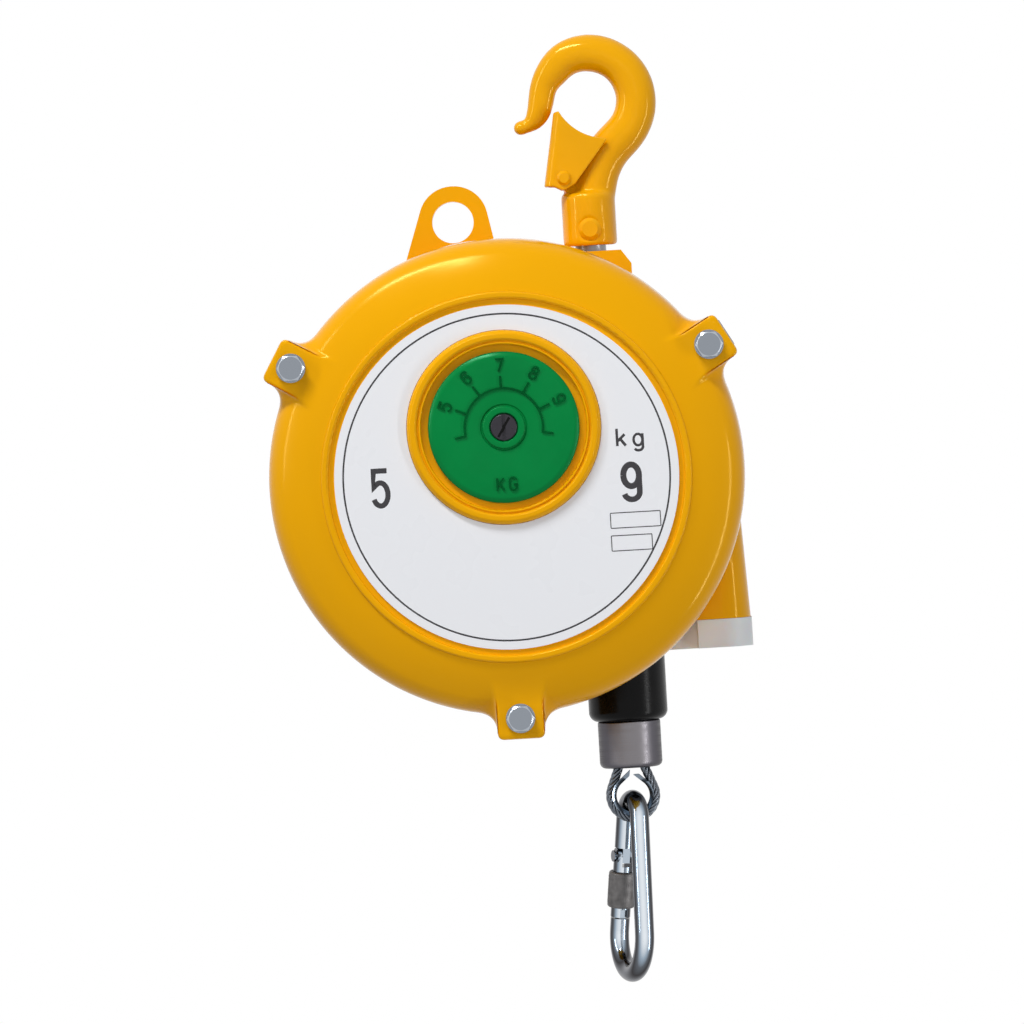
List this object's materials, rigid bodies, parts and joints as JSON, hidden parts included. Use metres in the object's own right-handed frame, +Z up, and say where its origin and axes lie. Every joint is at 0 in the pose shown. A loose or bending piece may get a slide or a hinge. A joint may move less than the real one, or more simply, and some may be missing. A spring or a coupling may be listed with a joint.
{
  "type": "tool balancer",
  "caption": "Spring balancer with a round two-part die-cast case, load dial, swivelling safety hook, tapered drum with wire rope, rubber stop and screw-lock snap hook.",
  "frame": {"origin": "the seat of the top hook: the highest point of the inside of its bowl, where the balancer hangs on its support", "axes": "+Z up, +X to the right when the dial is seen from the front, and the dial's face looks towards -Y"},
  "size_m": [0.1964, 0.1286, 0.3943],
  "materials": {
    "yellow_paint": "gloss enamel",
    "hook_paint": "gloss enamel",
    "label_white": "smooth printed plate",
    "zinc": "bright zinc plating",
    "green_plastic": "moulded gloss",
    "black_screw": "black oxide",
    "nylon": "milky nylon",
    "black_rubber": "smooth rubber",
    "steel": "turned steel",
    "spring_steel": "blued strip",
    "bronze": "bearing bronze",
    "cast_drum": "die cast",
    "ferrule_metal": "turned",
    "wire_rope": "galvanised strand",
    "bright_zinc": "bright zinc"
  },
  "bodies": {
    "hook": {"hook": "hook_paint", "hook_stem": "steel", "stem_pin": "hook_paint", "latch_rivet": "hook_paint"},
    "housing": {"front_cover": "yellow_paint", "label_plate": "label_white", "rear_case": "yellow_paint", "cover_bolts": "zinc", "cover_washers": "zinc", "cover_nuts": "zinc", "front_bush": "bronze", "rear_bush": "bronze", "end_bush": "bronze", "wire_guide": "nylon", "gear_cover": "yellow_paint", "gear_cover_screws": "zinc", "thrust_washer": "steel", "worm_bushes": "bronze"},
    "drum": {"cable_drum": "cast_drum", "drum_bushes": "bronze", "rope_wraps": "wire_rope", "rope_stop": "steel", "spring_barrel": "steel", "barrel_lid": "steel", "lid_screws": "zinc", "drum_screws": "zinc", "power_spring": "spring_steel"},
    "arbor": {"main_shaft": "steel", "spring_core": "steel", "core_key": "steel", "worm_wheel": "bronze", "wheel_key": "steel", "wheel_collar": "steel", "dial_pinion": "steel"},
    "worm": {"worm": "steel"},
    "dial": {"dial": "green_plastic", "dial_screw": "black_screw", "dial_gear": "nylon"},
    "latch": {"latch": "hook_paint", "latch_spring": "spring_steel"},
    "load": {"bumper": "black_rubber", "ferrule": "ferrule_metal", "rope_run": "wire_rope", "rope_eye": "wire_rope", "thimble": "bright_zinc"},
    "carabiner": {"carabiner": "bright_zinc", "gate_pin": "bright_zinc"},
    "gate": {"carabiner_gate": "bright_zinc"},
    "lock_sleeve": {"lock_sleeve": "bright_zinc"}
  },
  "joints": [
    {"name": "hook_swivel", "type": "hinge", "parent": "hook", "child": "housing", "pos_m": [-0.0019, 0, -0.0806], "axis": [0, 0, 1], "continuous": true},
    {"name": "latch_open", "type": "hinge", "parent": "hook", "child": "latch", "pos_m": [-0.0114, 0, -0.0438], "axis": [0, 1, 0], "range_deg": [0, 22], "stiffness_Nm_per_rad": 0.02, "springref_deg": -28.65},
    {"name": "drum_spin", "type": "hinge", "parent": "housing", "child": "drum", "pos_m": [-0.0419, -0.01, -0.1656], "axis": [0, 1, 0], "range_deg": [0, 1685.1], "stiffness_Nm_per_rad": 0.01, "springref_deg": -17188.73},
    {"name": "cable_pull", "type": "slide", "parent": "housing", "child": "load", "axis": [0, 0, -1], "range_m": [0, 1.5]},
    {"name": "arbor_turn", "type": "hinge", "parent": "housing", "child": "arbor", "pos_m": [-0.0419, 0.01, -0.1656], "axis": [0, 1, 0], "range_deg": [-201, 201]},
    {"name": "worm_turn", "type": "hinge", "parent": "housing", "child": "worm", "pos_m": [-0.0419, 0.04, -0.1951], "axis": [1, 0, 0], "range_deg": [-6030, 6030]},
    {"name": "dial_turn", "type": "hinge", "parent": "housing", "child": "dial", "pos_m": [-0.0419, -0.068, -0.1452], "axis": [0, 1, 0], "range_deg": [-67, 67]},
    {"name": "carabiner_swing", "type": "hinge", "parent": "load", "child": "carabiner", "pos_m": [0.00185, -0.003, -0.31098], "axis": [0.9378, 0.342, -0.059], "range_deg": [-60, 60]},
    {"name": "gate_open", "type": "hinge", "parent": "carabiner", "child": "gate", "pos_m": [-0.0027, 0.00676, -0.3267], "axis": [-0.9378, -0.342, 0.059], "range_deg": [0, 25], "stiffness_Nm_per_rad": 0.02, "springref_deg": -28.65},
    {"name": "sleeve_travel", "type": "slide", "parent": "gate", "child": "lock_sleeve", "axis": [-0.1109, 0.1342, -0.9847], "range_m": [0, 0.0035]}
  ],
  "couplings": [
    {"joint": "cable_pull", "follows": "drum_spin", "m_per_rad": 0.051},
    {"joint": "worm_turn", "follows": "arbor_turn", "ratio": 30},
    {"joint": "dial_turn", "follows": "arbor_turn", "ratio": -0.33333}
  ]
}
